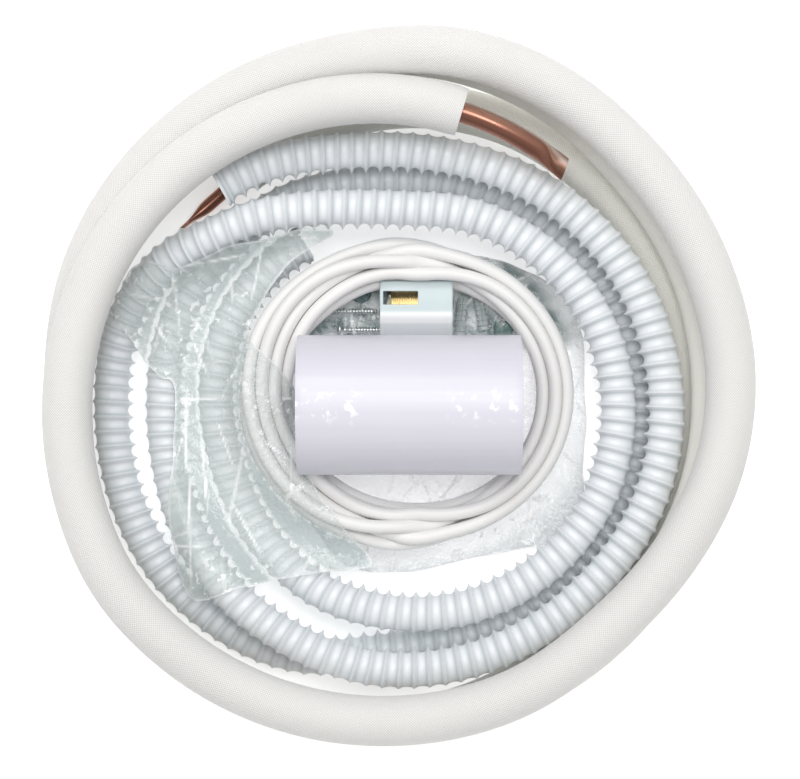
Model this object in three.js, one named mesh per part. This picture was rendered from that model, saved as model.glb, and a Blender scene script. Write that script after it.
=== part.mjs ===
// A line set for a small split air conditioner, coiled up with its accessories, in millimetres, +Z up.
// It lies flat on the floor, z = 0, with the origin in the middle of the whole kit.
import * as THREE from "three";

// Copper lines and their foam sleeves
const GAS_COPPER = 9.52;
const LIQUID_COPPER = 6.35;
const GAS_WALL = 0.8;
const LIQUID_WALL = 0.7;
const GAS_SLEEVE = 22;
const LIQUID_SLEEVE = 20;
const SLEEVE_PLAY = 0.5; // radial room between a copper tube and its sleeve
const GAS_TAIL = 52; // bare copper past the sleeve
const GAS_TAIL_DROP = 10; // its end lies this much lower than its start
const LIQUID_TAIL = 38;
const HIDDEN_TAIL = 24;
const PINCH_LENGTH = 16; // flattened stretch at each copper end
const FLAT_FROM = 0.8; // share of that stretch where it reaches its full flatness
const SLIT = 0.5; // what is left of the bore in a pinched end

// Drain hose
const HOSE = 19;
const HOSE_WALL = 1.4;

// Accessories in the middle
const CABLE = 6.1;
const CABLE_COIL_OUTER = 79.5;
const CABLE_COIL_WIDTH = 16.5;
const CABLE_COIL_HEIGHT = 14.6;
const CABLE_COIL_OVAL = 0.92; // its depth as a share of its width
const TAPE_LENGTH = 100;
const TAPE_RADIUS = 31.5;
const TAPE_BORE_RADIUS = 12.5;
const BAG_FILM = 0.8;
const BAG_WIDTH = 132;
const BAG_DEPTH = 118;

// Hardware beside the tape
const CARD_WIDTH = 33;
const CARD_THICKNESS = 0.8;
const CARD_SLOT_LENGTH = 16;
const CARD_SLOT_WIDTH = 6;
const CARD_SLOT_INSET = 1.5; // from the card's left edge
const CARD_SLOT_SETBACK = 5; // from its fold
const CARD_FRONT_DROP = 8.4; // how far its front edge hangs below the fold
const CARD_FRONT_RUN = 9.8; // and how far it stands out from it
const CARD_BACK_LENGTH = 15.8;
const CARD_FOLD_LEAD = 0.47; // from the fold to the nut's upper face
const NUT_FLATS = 15;
const NUT_LENGTH = 16;
const NUT_BORE = 9.8;
const SCREW_LENGTH = 30;
const SCREW_SHANK = 3.6;
const SCREW_HEAD = 7.4;
const SCREW_HEAD_HEIGHT = 2.4;
const SCREW_RIM = 0.6;
const SCREW_TIP = 5;
const PLUG_LENGTH = 18;
const PLUG_DIAMETER = 6;
const PLUG_BORE = 3;
const CAP_DIAMETER = 10;
const CAP_HEIGHT = 7;
const PUTTY_LENGTH = 9.5;
const PUTTY_WIDTH = 8.5;
const PUTTY_HEIGHT = 6.5;

const GAP = 0.3; // between pieces that touch
const FLOOR_GAP = 0.1; // under the lowest turn, whose section tilts a little with its slope
const FACETS = 12; // round a sleeve or the hose
const BORE_FACETS = 8;
const SMALL_FACETS = 10; // round a screw or a plug
const DEGREES_PER_STEP = 12;

// Radius of the corners, and of the flats, of an even polygon with the area of a circle.
function cornerRadius(diameter, facets) {
  const slice = (2 * Math.PI) / facets;
  return (diameter / 2) * Math.sqrt(slice / Math.sin(slice));
}

function flatRadius(diameter, facets) {
  return cornerRadius(diameter, facets) * Math.cos(Math.PI / facets);
}

// Heights of the middle of each layer of the coil
const LIQUID_FLOOR = flatRadius(LIQUID_SLEEVE, FACETS) + FLOOR_GAP;
const GAS_LOW = LIQUID_FLOOR + (LIQUID_SLEEVE + GAS_SLEEVE) / 2 + GAP;
const GAS_TOP = GAS_LOW + GAS_SLEEVE + GAP;
const LIQUID_HIGH = LIQUID_FLOOR + LIQUID_SLEEVE + GAP;
const HOSE_FLOOR = cornerRadius(HOSE, FACETS);

// Each route is a list of stations, [angle in degrees, radius, height], round the coil's centre.
const gasRoute = [
  [76.8, 123.5, GAS_TOP],
  [95, 126.8, GAS_TOP],
  [110, 129.6, GAS_TOP],
  [135, 135.3, GAS_TOP],
  [160, 141, GAS_TOP],
  [180, 145, GAS_TOP],
  [198, 148.5, GAS_TOP],
  [215, 151.6, GAS_TOP],
  [230, 151.1, GAS_TOP],
  [250, 149.4, GAS_TOP],
  [270, 147.2, GAS_TOP],
  [290, 145, GAS_TOP],
  [312, 141, GAS_TOP],
  [330, 142.8, GAS_TOP],
  [345, 145.4, GAS_TOP],
  [360, 146.3, GAS_TOP],
  [380, 145.4, GAS_TOP],
  [405, 145.4, GAS_TOP],
  [430, 148.5, GAS_TOP],
  [441, 148.8, GAS_TOP - 0.6],
  [450, 148, 48.4],
  [460, 147.4, 42.4],
  [472, 148, 38.6],
  [495, 149, 34.2],
  [520, 149.2, GAS_LOW],
  [540, 147.8, GAS_LOW],
  [558, 151.4, GAS_LOW],
  [575, 154.6, GAS_LOW],
  [590, 154.1, GAS_LOW],
  [600, 153.2, GAS_LOW],
];

// The liquid line runs back from its end by the hose end, the other way round.
const liquidRoute = [
  [486, 119.5, LIQUID_FLOOR],
  [470, 123.2, LIQUID_FLOOR],
  [450, 127.3, LIQUID_FLOOR],
  [430, 129.5, LIQUID_FLOOR],
  [405, 130, LIQUID_FLOOR],
  [380, 130.5, LIQUID_FLOOR],
  [360, 131.4, LIQUID_FLOOR],
  [345, 133.7, LIQUID_FLOOR],
  [330, 136.4, LIQUID_FLOOR],
  [310, 140.5, LIQUID_FLOOR],
  [290, 146.9, LIQUID_FLOOR],
  [270, 152.8, LIQUID_FLOOR],
  [250, 155.1, LIQUID_FLOOR],
  [230, 156.9, LIQUID_FLOOR],
  [215, 157.4, LIQUID_FLOOR],
  [198, 154.2, LIQUID_FLOOR],
  [180, 150.5, LIQUID_FLOOR],
  [160, 151.5, LIQUID_FLOOR],
  [135, 151.4, 11.4],
  [110, 150.8, 17.6],
  [90, 150, 24.4],
  [75, 147.9, 28.6],
  [60, 145, LIQUID_HIGH - 0.6],
  [45, 141.8, LIQUID_HIGH - 0.6],
  [20, 141.2, LIQUID_HIGH - 0.6],
  [0, 141.6, LIQUID_HIGH - 0.6],
  [-20, 143.6, LIQUID_HIGH],
  [-40, 144.8, LIQUID_HIGH + 0.4],
  [-60, 147, LIQUID_HIGH + 0.6],
  [-75, 148.4, LIQUID_HIGH + 0.6],
  [-87, 148.6, LIQUID_HIGH + 0.6],
];

// The hose winds inwards in three turns, clockwise seen from above: over the lines, then on the floor.
const hoseRoute = [
  [132, 119, 30.8],
  [123, 115.9, 30.4],
  [113, 111.4, 29.4],
  [102, 107.1, 28.4],
  [90, 105.1, 28.2],
  [71, 105.4, 28.2],
  [55, 108.1, 28.2],
  [39, 111.1, 28.2],
  [24, 114.3, 28.2],
  [9, 117.3, 28.2],
  [-6, 120.5, 28.2],
  [-20, 122.8, 28.2],
  [-34, 124, 28.2],
  [-47, 124.4, 28.2],
  [-61, 125.6, 28.2],
  [-74, 126.6, 28.2],
  [-85, 126.8, 28.4],
  [-94, 126.4, 28.8],
  [-104, 124.5, 29.4],
  [-116, 121.8, 28.8],
  [-130, 119, 26],
  [-144, 115, 19],
  [-160, 109.8, 11.5],
  [-177, 106.3, HOSE_FLOOR],
  [-192, 105, HOSE_FLOOR],
  [-206, 103, HOSE_FLOOR],
  [-222, 99.8, HOSE_FLOOR],
  [-237, 97.8, HOSE_FLOOR],
  [-251, 94.8, HOSE_FLOOR],
  [-268, 93.2, HOSE_FLOOR],
  [-285, 95.1, HOSE_FLOOR],
  [-306, 98.6, HOSE_FLOOR],
  [-322, 101.8, HOSE_FLOOR],
  [-337, 105.2, HOSE_FLOOR],
  [-352, 108.4, HOSE_FLOOR],
  [-366, 110.8, HOSE_FLOOR],
  [-380, 113, HOSE_FLOOR],
  [-393, 115, HOSE_FLOOR],
  [-407, 116.4, HOSE_FLOOR],
  [-420, 117.4, HOSE_FLOOR],
  [-434, 117.4, HOSE_FLOOR],
  [-447, 118, HOSE_FLOOR],
  [-458, 122.6, HOSE_FLOOR],
  [-468, 129, HOSE_FLOOR],
  [-478, 132.7, HOSE_FLOOR],
  [-488, 134, HOSE_FLOOR],
  [-503, 135.1, HOSE_FLOOR],
  [-514, 134, HOSE_FLOOR],
  [-525, 132.1, HOSE_FLOOR],
  [-537, 130, HOSE_FLOOR],
  [-547, 129, HOSE_FLOOR],
  [-555, 127, 12.5],
  [-562, 123, 18],
  [-570, 116.4, 24.6],
  [-579, 106.9, 29.2],
  [-591, 97.2, 30],
  [-602, 89, 29.2],
  [-615, 82.4, 27.4],
  [-631, 79.2, 26],
  [-652, 82.4, 25.6],
  [-668, 85.7, 25.6],
  [-684, 89.2, 25.6],
  [-699, 92.9, 25.6],
  [-713, 96.2, 25.6],
  [-727, 99.2, 25.6],
  [-740, 101.5, 25.6],
  [-753, 103.3, 25.6],
  [-766, 104.1, 25.6],
  [-779, 104.3, 25.6],
  [-792, 103.5, 25.6],
  [-805, 102.1, 25],
  [-817, 100.5, 23],
  [-828, 99, 19.5],
  [-839, 96.2, 14.5],
  [-852, 92, 10.6],
  [-867, 87.1, HOSE_FLOOR],
  [-881, 83.8, HOSE_FLOOR],
  [-896, 82.4, HOSE_FLOOR],
  [-910, 81.6, HOSE_FLOOR],
  [-925, 80.6, HOSE_FLOOR],
  [-940, 79, HOSE_FLOOR],
  [-957, 77.2, HOSE_FLOOR],
];

// Places of the accessories, on the floor film
const FILM_TOP = BAG_FILM + GAP;
const bagCentre = new THREE.Vector2(9, -6);
const cableCentre = new THREE.Vector2(3.5, -3.6);
const CABLE_RISE = 15.4; // how much higher the cable coil lies where it leans on the hose
const tapeCentre = new THREE.Vector2(5, -8.6);
const cardLeft = -8.2;
const nutCentre = new THREE.Vector2(3, 37);
const cardFold = nutCentre.y - NUT_FLATS / (2 * Math.sqrt(3)) - CARD_FOLD_LEAD;
const cardFront = cardFold - CARD_FRONT_RUN;
const cardBack = cardFold + CARD_BACK_LENGTH;
const screwPlaces = [
  [-27, 25.6],
  [-36, 34.2],
];
const plugPlaces = [
  [29, 32, 85],
  [38, 34.5, 100],
];
const capCentre = new THREE.Vector2(-17, 43);
const puttyCentre = new THREE.Vector2(48.4, 26);

// Materials
function finish(color, roughness, metalness = 0, opacity = 1) {
  return new THREE.MeshStandardMaterial({
    color,
    roughness,
    metalness,
    opacity,
    transparent: opacity < 1,
  });
}

const foam = finish(0xf2f1ec, 0.75);
const foamCream = finish(0xeeecdf, 0.75);
const copper = finish(0xc9825c, 0.28, 1);
const hosePlastic = finish(0xe6ecf0, 0.45);
const cableJacket = finish(0xf3f1ee, 0.5);
const tapeVinyl = finish(0xe6e4ec, 0.4);
const film = finish(0xdfe6e4, 0.15, 0, 0.4);
const card = finish(0xd3dfdf, 0.6);
const brass = finish(0xc7a24e, 0.3, 1);
const steel = finish(0x8d9090, 0.35, 1);
const rubber = finish(0x3c545a, 0.35);
const putty = finish(0x4d6b64, 0.6);
const clearPlastic = finish(0xdde5e4, 0.2, 0, 0.6);

// The points of a route, evenly spread over its angle, on a smooth curve through its stations.
function pointsOfRoute(stations, stepDegrees = DEGREES_PER_STEP) {
  const smooth = new THREE.CatmullRomCurve3(
    stations.map(([angle, radius, height]) => new THREE.Vector3(angle, radius, height)),
    false,
    "centripetal",
  );
  const fine = smooth.getPoints(stations.length * 12);
  const first = stations[0][0];
  const last = stations[stations.length - 1][0];
  const steps = Math.round(Math.abs(last - first) / stepDegrees);
  const points = [];
  let at = 0;
  for (let i = 0; i <= steps; i++) {
    const angle = THREE.MathUtils.lerp(first, last, i / steps);
    while (at < fine.length - 2 && Math.abs(fine[at + 1].x - first) < Math.abs(angle - first)) at++;
    const share = THREE.MathUtils.clamp((angle - fine[at].x) / (fine[at + 1].x - fine[at].x), 0, 1);
    const here = fine[at].clone().lerp(fine[at + 1], share);
    const turn = THREE.MathUtils.degToRad(angle);
    points.push(new THREE.Vector3(Math.cos(turn) * here.y, Math.sin(turn) * here.y, here.z));
  }
  return points;
}

// A bare tail that leaves the end of a route, bent towards the coil's centre, nearest point first.
function tail(end, before, { length, bend = 0, drop = 0 }, steps) {
  const along = end.clone().sub(before).setZ(0).normalize();
  const inwards = Math.sign(along.clone().cross(end.clone().negate()).z);
  const turn = (inwards * THREE.MathUtils.degToRad(bend)) / steps;
  const up = new THREE.Vector3(0, 0, 1);
  const points = [];
  let point = end.clone();
  for (let i = 1; i <= steps; i++) {
    along.applyAxisAngle(up, turn);
    point = point.clone().addScaledVector(along, length / steps);
    point.z = end.z - drop * (i / steps) ** 2;
    points.push(point);
  }
  return points;
}

// Upright frames along a route: no roll, so one flat of every section faces down.
function framesAlong(points) {
  return points.map((point, i) => {
    const next = points[Math.min(i + 1, points.length - 1)];
    const previous = points[Math.max(i - 1, 0)];
    const along = next.clone().sub(previous).normalize();
    const side = new THREE.Vector3(0, 0, 1).cross(along).normalize();
    const up = along.clone().cross(side).normalize();
    return { point, side, up };
  });
}

// One ring of a section: an even polygon, squeezed by squash.thin and widened by squash.wide.
function ringPoints(frame, radius, facets, squash) {
  const ring = [];
  const turn = THREE.MathUtils.degToRad(squash.turn);
  for (let i = 0; i < facets; i++) {
    const angle = ((i + 0.5) / facets) * 2 * Math.PI - turn;
    const wide = Math.cos(angle) * radius * squash.wide;
    const thin = Math.sin(angle) * radius * squash.thin;
    const across = wide * Math.cos(turn) - thin * Math.sin(turn);
    const upward = wide * Math.sin(turn) + thin * Math.cos(turn);
    ring.push(
      frame.point.clone().addScaledVector(frame.side, across).addScaledVector(frame.up, upward),
    );
  }
  return ring;
}

const ROUND = { wide: 1, thin: 1, turn: 0 };

// A hollow tube swept along points, closed between its outside and its bore at both ends.
function sweptTube(points, outer, bore, facets, boreFacets, outerSquash, boreSquash) {
  const frames = framesAlong(points);
  const positions = [];
  const index = [];
  const rows = frames.map((frame, i) => {
    const outside = ringPoints(
      frame,
      cornerRadius(outer, facets),
      facets,
      outerSquash ? outerSquash[i] : ROUND,
    );
    const inside = ringPoints(
      frame,
      cornerRadius(bore, boreFacets),
      boreFacets,
      boreSquash ? boreSquash[i] : ROUND,
    );
    const start = positions.length / 3;
    for (const corner of [...outside, ...inside]) positions.push(corner.x, corner.y, corner.z);
    return start;
  });
  const wall = (offset, count, outward) => {
    for (let i = 0; i < rows.length - 1; i++) {
      for (let k = 0; k < count; k++) {
        const a = rows[i] + offset + k;
        const b = rows[i] + offset + ((k + 1) % count);
        const c = rows[i + 1] + offset + k;
        const d = rows[i + 1] + offset + ((k + 1) % count);
        if (outward) index.push(a, b, d, a, d, c);
        else index.push(a, d, b, a, c, d);
      }
    }
  };
  wall(0, facets, true);
  wall(facets, boreFacets, false);
  capRing(index, rows[0], facets, boreFacets, true);
  capRing(index, rows[rows.length - 1], facets, boreFacets, false);
  const geometry = new THREE.BufferGeometry();
  geometry.setAttribute("position", new THREE.Float32BufferAttribute(positions, 3));
  geometry.setIndex(index);
  geometry.computeVertexNormals();
  return geometry;
}

// The end face between the outer ring and the bore, walked round both at once.
function capRing(index, start, facets, boreFacets, front) {
  let i = 0;
  let k = 0;
  while (i < facets || k < boreFacets) {
    const outer = start + (i % facets);
    const inner = start + facets + (k % boreFacets);
    const outerNext = (i + 1.5) / facets;
    const innerNext = (k + 1.5) / boreFacets;
    const takeOuter = k >= boreFacets || (i < facets && outerNext <= innerNext);
    const third = takeOuter ? start + ((i + 1) % facets) : start + facets + ((k + 1) % boreFacets);
    if (front) index.push(outer, inner, third);
    else index.push(outer, third, inner);
    if (takeOuter) i++;
    else k++;
  }
}

// How the section flattens towards a pinched end, over the last stretch of the tube.
function pinch(points, outer, wall, fromStart, fromEnd) {
  const lengths = [0];
  for (let i = 1; i < points.length; i++) {
    lengths.push(lengths[i - 1] + points[i].distanceTo(points[i - 1]));
  }
  const total = lengths[lengths.length - 1];
  const thickness = 2 * wall + SLIT;
  const flatWidth = (Math.PI / 2) * (outer - thickness) + thickness;
  const bore = outer - 2 * wall;
  const outerSquash = [];
  const boreSquash = [];
  for (const length of lengths) {
    const startShare = 1 - Math.min(length / PINCH_LENGTH, 1);
    const endShare = 1 - Math.min((total - length) / PINCH_LENGTH, 1);
    const share = THREE.MathUtils.smoothstep(Math.max(startShare, endShare), 0, FLAT_FROM);
    const turn = startShare > endShare ? fromStart : fromEnd;
    const wide = THREE.MathUtils.lerp(1, flatWidth / outer, share);
    outerSquash.push({ wide, thin: THREE.MathUtils.lerp(1, thickness / outer, share), turn });
    boreSquash.push({ wide, thin: THREE.MathUtils.lerp(1, SLIT / bore, share), turn });
  }
  return { outerSquash, boreSquash };
}

function lineSet(name, route, sizes, startTail, endTail) {
  const sleevePoints = pointsOfRoute(route);
  const [first, second] = sleevePoints;
  const [last, nextToLast] = [...sleevePoints].reverse();
  const tubePoints = [
    ...tail(first, second, startTail, 10).reverse(),
    ...sleevePoints,
    ...tail(last, nextToLast, endTail, 6),
  ];
  const { outerSquash, boreSquash } = pinch(
    tubePoints,
    sizes.copper,
    sizes.wall,
    startTail.turn,
    endTail.turn,
  );
  const tube = new THREE.Mesh(
    sweptTube(
      tubePoints,
      sizes.copper,
      sizes.copper - 2 * sizes.wall,
      BORE_FACETS,
      BORE_FACETS,
      outerSquash,
      boreSquash,
    ),
    copper,
  );
  tube.name = name + "_copper_tube";
  const sleeve = new THREE.Mesh(
    sweptTube(
      sleevePoints,
      sizes.sleeve,
      sizes.copper + 2 * SLEEVE_PLAY,
      FACETS,
      BORE_FACETS,
    ),
    sizes.foam,
  );
  sleeve.name = name + "_foam_sleeve";
  return [tube, sleeve];
}

function drainHose() {
  const points = pointsOfRoute(hoseRoute, 13.2);
  const mesh = new THREE.Mesh(
    sweptTube(points, HOSE, HOSE - 2 * HOSE_WALL, FACETS, BORE_FACETS),
    hosePlastic,
  );
  mesh.name = "drain_hose";
  return mesh;
}

// The cable's seven turns as one ring, which leans on the hose at its left.
function cableCoil() {
  const inner = CABLE_COIL_OUTER - CABLE_COIL_WIDTH;
  const half = CABLE_COIL_HEIGHT / 2;
  const round = CABLE * 0.6;
  const profile = [
    [inner, -half + round],
    [inner + round, -half],
    [CABLE_COIL_OUTER - round, -half],
    [CABLE_COIL_OUTER, -half + round],
    [CABLE_COIL_OUTER, half - round],
    [CABLE_COIL_OUTER - round, half],
    [inner + round, half],
    [inner, half - round],
    [inner, -half + round],
  ].map(([x, y]) => new THREE.Vector2(x, y));
  const ring = new THREE.Mesh(new THREE.LatheGeometry(profile, 40), cableJacket);
  ring.name = "cable_coil";
  ring.rotation.x = Math.PI / 2;
  ring.scale.z = CABLE_COIL_OVAL;
  const lean = new THREE.Group();
  const tilt = Math.asin(CABLE_RISE / (2 * CABLE_COIL_OUTER));
  lean.rotation.y = tilt;
  lean.position.set(
    cableCentre.x,
    cableCentre.y,
    FILM_TOP + CABLE_RISE / 2 + half * Math.cos(tilt),
  );
  lean.add(ring);
  return lean;
}

function tapeRoll() {
  const roll = new THREE.Mesh(bush(TAPE_RADIUS, TAPE_BORE_RADIUS, TAPE_LENGTH, 48), tapeVinyl);
  roll.name = "wrapping_tape_roll";
  roll.rotation.z = Math.PI / 2;
  roll.position.set(tapeCentre.x, tapeCentre.y, FILM_TOP + TAPE_RADIUS);
  return roll;
}

// The part of the bag's film that lies flat under the tape and the cable
function bag() {
  const outline = new THREE.Shape();
  outline.absellipse(0, 0, BAG_WIDTH / 2, BAG_DEPTH / 2, 0, 2 * Math.PI);
  const mesh = new THREE.Mesh(
    new THREE.ExtrudeGeometry(outline, { depth: BAG_FILM, bevelEnabled: false, curveSegments: 32 }),
    film,
  );
  mesh.name = "accessory_bag";
  mesh.position.set(bagCentre.x, bagCentre.y, 0);
  return mesh;
}

// A folded card: its back half lies on the nut, with a window over it, and its front half hangs down.
function hardwareCard() {
  const nutTop = FILM_TOP + NUT_FLATS + GAP;
  const front = plate([cardFront, nutTop - CARD_FRONT_DROP], [cardFold, nutTop + GAP], false);
  const back = plate([cardFold, nutTop], [cardBack, nutTop], true);
  const group = new THREE.Group();
  group.add(front, back);
  return group;
}

function plate(from, to, slotted) {
  const run = to[0] - from[0];
  const rise = to[1] - from[1];
  const depth = Math.hypot(run, rise) - GAP;
  const shape = new THREE.Shape();
  shape.moveTo(0, 0);
  shape.lineTo(CARD_WIDTH, 0);
  shape.lineTo(CARD_WIDTH, depth);
  shape.lineTo(0, depth);
  shape.closePath();
  if (slotted) {
    const slotRight = CARD_SLOT_INSET + CARD_SLOT_LENGTH;
    const slotBack = CARD_SLOT_SETBACK + CARD_SLOT_WIDTH;
    const slot = new THREE.Path();
    slot.moveTo(CARD_SLOT_INSET, CARD_SLOT_SETBACK);
    slot.lineTo(CARD_SLOT_INSET, slotBack);
    slot.lineTo(slotRight, slotBack);
    slot.lineTo(slotRight, CARD_SLOT_SETBACK);
    slot.closePath();
    shape.holes.push(slot);
  }
  const mesh = new THREE.Mesh(
    new THREE.ExtrudeGeometry(shape, { depth: CARD_THICKNESS, bevelEnabled: false }),
    card,
  );
  mesh.name = slotted ? "hardware_card_back" : "hardware_card_front";
  mesh.rotation.x = Math.atan2(rise, run);
  mesh.position.set(cardLeft, from[0], from[1]);
  return mesh;
}

// A short tube with a through bore, along y
function bush(radius, boreRadius, length, sides) {
  const half = length / 2;
  const profile = [
    [boreRadius, -half],
    [radius, -half],
    [radius, half],
    [boreRadius, half],
    [boreRadius, -half],
  ].map(([x, y]) => new THREE.Vector2(x, y));
  return new THREE.LatheGeometry(profile, sides);
}

function flareNut() {
  const nut = new THREE.Mesh(
    bush(NUT_FLATS / Math.sqrt(3), NUT_BORE / 2, NUT_LENGTH, 6).rotateY(Math.PI / 6),
    brass,
  );
  nut.name = "flare_nut";
  nut.rotation.z = Math.PI / 2;
  nut.position.set(nutCentre.x, nutCentre.y, FILM_TOP + NUT_FLATS / 2);
  return nut;
}

function screw(name, [x, y]) {
  const profile = [
    [0, 0],
    [SCREW_HEAD / 2, 0],
    [SCREW_HEAD / 2, SCREW_RIM],
    [SCREW_SHANK / 2, SCREW_HEAD_HEIGHT],
    [SCREW_SHANK / 2, SCREW_LENGTH - SCREW_TIP],
    [0, SCREW_LENGTH],
  ].map(([radius, height]) => new THREE.Vector2(radius, height));
  const mesh = new THREE.Mesh(new THREE.LatheGeometry(profile, SMALL_FACETS), steel);
  mesh.name = name;
  mesh.rotation.z = -Math.PI / 2;
  mesh.position.set(x, y, FILM_TOP + SCREW_HEAD / 2);
  return mesh;
}

function wallPlug(name, [x, y, angle]) {
  const mesh = new THREE.Mesh(
    bush(PLUG_DIAMETER / 2, PLUG_BORE / 2, PLUG_LENGTH, SMALL_FACETS),
    clearPlastic,
  );
  mesh.name = name;
  mesh.rotation.z = THREE.MathUtils.degToRad(angle - 90);
  mesh.position.set(x, y, FILM_TOP + PLUG_DIAMETER / 2);
  return mesh;
}

function rubberCap() {
  const radius = CAP_DIAMETER / 2;
  const profile = [
    [0, 0],
    [radius, 0],
    [radius, CAP_HEIGHT * 0.4],
    [radius * 0.8, CAP_HEIGHT * 0.8],
    [radius * 0.4, CAP_HEIGHT],
    [0, CAP_HEIGHT],
  ].map(([x, y]) => new THREE.Vector2(x, y));
  const mesh = new THREE.Mesh(new THREE.LatheGeometry(profile, 16), rubber);
  mesh.name = "rubber_cap";
  mesh.rotation.x = Math.PI / 2;
  mesh.position.set(capCentre.x, capCentre.y, FILM_TOP);
  return mesh;
}

function sealingPutty() {
  const mesh = new THREE.Mesh(
    new THREE.BoxGeometry(PUTTY_LENGTH, PUTTY_WIDTH, PUTTY_HEIGHT),
    putty,
  );
  mesh.name = "sealing_putty";
  mesh.position.set(puttyCentre.x, puttyCentre.y, FILM_TOP + PUTTY_HEIGHT / 2);
  return mesh;
}

const kit = new THREE.Group();
kit.name = "split_line_set";
kit.add(
  ...lineSet(
    "gas_line",
    gasRoute,
    { copper: GAS_COPPER, wall: GAS_WALL, sleeve: GAS_SLEEVE, foam },
    { length: GAS_TAIL, bend: 21, drop: GAS_TAIL_DROP, turn: 40 },
    { length: HIDDEN_TAIL, bend: 12, turn: 0 },
  ),
  ...lineSet(
    "liquid_line",
    liquidRoute,
    { copper: LIQUID_COPPER, wall: LIQUID_WALL, sleeve: LIQUID_SLEEVE, foam: foamCream },
    { length: LIQUID_TAIL, turn: 90 },
    { length: HIDDEN_TAIL, bend: 6, turn: 0 },
  ),
  drainHose(),
  cableCoil(),
  tapeRoll(),
  bag(),
  hardwareCard(),
  flareNut(),
  ...screwPlaces.map((place, i) => screw("screw_" + (i + 1), place)),
  ...plugPlaces.map((place, i) => wallPlug("wall_plug_" + (i + 1), place)),
  rubberCap(),
  sealingPutty(),
);

const middle = new THREE.Box3().setFromObject(kit, true).getCenter(new THREE.Vector3());
for (const piece of kit.children) {
  piece.position.x -= middle.x;
  piece.position.y -= middle.y;
}

export default kit;
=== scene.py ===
# %% [markdown]
# # A coiled line set for a small split air conditioner
# The CAD model gives the places and sizes. Here each piece gets the surface that the real one
# shows.

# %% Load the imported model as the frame
import math

import bmesh
import bpy
import numpy as np
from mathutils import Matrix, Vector, noise


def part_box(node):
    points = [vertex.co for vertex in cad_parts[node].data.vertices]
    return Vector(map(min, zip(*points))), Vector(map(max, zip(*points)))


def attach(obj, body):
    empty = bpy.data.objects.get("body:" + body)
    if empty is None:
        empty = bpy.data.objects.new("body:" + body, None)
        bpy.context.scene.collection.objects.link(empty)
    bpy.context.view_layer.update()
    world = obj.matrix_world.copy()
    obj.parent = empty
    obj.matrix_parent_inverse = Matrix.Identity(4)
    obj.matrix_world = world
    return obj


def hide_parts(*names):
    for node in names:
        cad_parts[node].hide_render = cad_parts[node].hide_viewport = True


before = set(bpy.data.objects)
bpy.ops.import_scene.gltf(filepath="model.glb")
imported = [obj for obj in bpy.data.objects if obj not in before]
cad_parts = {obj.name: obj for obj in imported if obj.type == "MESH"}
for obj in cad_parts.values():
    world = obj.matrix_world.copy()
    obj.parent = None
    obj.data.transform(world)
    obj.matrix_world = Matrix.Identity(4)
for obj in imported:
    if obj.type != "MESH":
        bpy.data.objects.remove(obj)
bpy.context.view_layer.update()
MM = 0.001

# %% [markdown]
# ## Where the coil lies
# The routes below are stations of [angle in degrees, radius, height] in millimetres round the coil's
# centre, the same as in the CAD source.

# %% The coil's centre and the floor
COIL_CENTRE = Vector((1.617, 1.205, 0)) * MM
FILM_TOP = 1.1
scene = bpy.context.scene


def linked(name, data):
    """A new object of the scene that shows the data."""
    made = bpy.data.objects.new(name, data)
    scene.collection.objects.link(made)
    return made



# %% [markdown]
# ## Camera and light
# The photo looks straight down from about 1.2 m, so the camera does too. One pixel covers 0.46 mm of
# the floor. A white dome with darker sides gives soft light, a lamp above adds faint shadows, and a
# long one puts a sheen on what is glossy.

# %% Camera
CAMERA_HEIGHT = 1.2
MM_PER_PIXEL = 0.46
PHOTO_WIDE, PHOTO_HIGH = 800, 779
SENSOR = 36
camera_data = bpy.data.cameras.new("camera_from_above")
camera_data.sensor_width = SENSOR
camera_data.lens = SENSOR * CAMERA_HEIGHT / (PHOTO_WIDE * MM_PER_PIXEL * MM)
camera = linked("camera_from_above", camera_data)
camera.location = COIL_CENTRE + Vector((0.92 * MM, -1.61 * MM, CAMERA_HEIGHT))
scene.camera = camera
print("lens", round(camera_data.lens, 1), "mm")

# %% Light
scene.view_settings.view_transform = "Standard"
scene.view_settings.look = "None"


def lamp(name, place, size, size_y, watts):
    data = bpy.data.lights.new(name, "AREA")
    data.shape = "RECTANGLE"
    data.size, data.size_y, data.energy = size, size_y, watts
    lit = linked(name, data)
    lit.location = place
    lit.rotation_euler = (-Vector(place)).to_track_quat("-Z", "Y").to_euler()


lamp("lamp_above", (0.15, 0.35, 1.5), 0.7, 0.5, 7)
lamp("lamp_strip", (-0.3, 0.75, 1.05), 0.9, 0.2, 4)

world = bpy.data.worlds.new("pale_room")
scene.world = world
world.use_nodes = True
sky = world.node_tree
sky.nodes.clear()
sky_out = sky.nodes.new("ShaderNodeOutputWorld")
sky_light = sky.nodes.new("ShaderNodeBackground")
sky_place = sky.nodes.new("ShaderNodeTexCoord")
sky_split = sky.nodes.new("ShaderNodeSeparateXYZ")
sky_ramp = sky.nodes.new("ShaderNodeValToRGB")
SKY_STOPS = (0.0, (0.3, 0.3, 0.31, 1)), (0.7, (1, 1, 1, 1))
for stop, (position, colour) in zip(sky_ramp.color_ramp.elements, SKY_STOPS):
    stop.position, stop.color = position, colour
sky.links.new(sky_place.outputs["Generated"], sky_split.inputs[0])
sky.links.new(sky_split.outputs["Z"], sky_ramp.inputs[0])
sky.links.new(sky_ramp.outputs[0], sky_light.inputs["Color"])
sky_light.inputs["Strength"].default_value = 0.78
sky.links.new(sky_light.outputs[0], sky_out.inputs[0])

# %% [markdown]
# ## Shader maths as Python
# A finish is easier to read as an expression than as a list of nodes. `Signal` wraps one socket, and
# its operators add the Math nodes. `Finish` is one material, with one method for every other node.

# %% Signals and finishes


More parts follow.
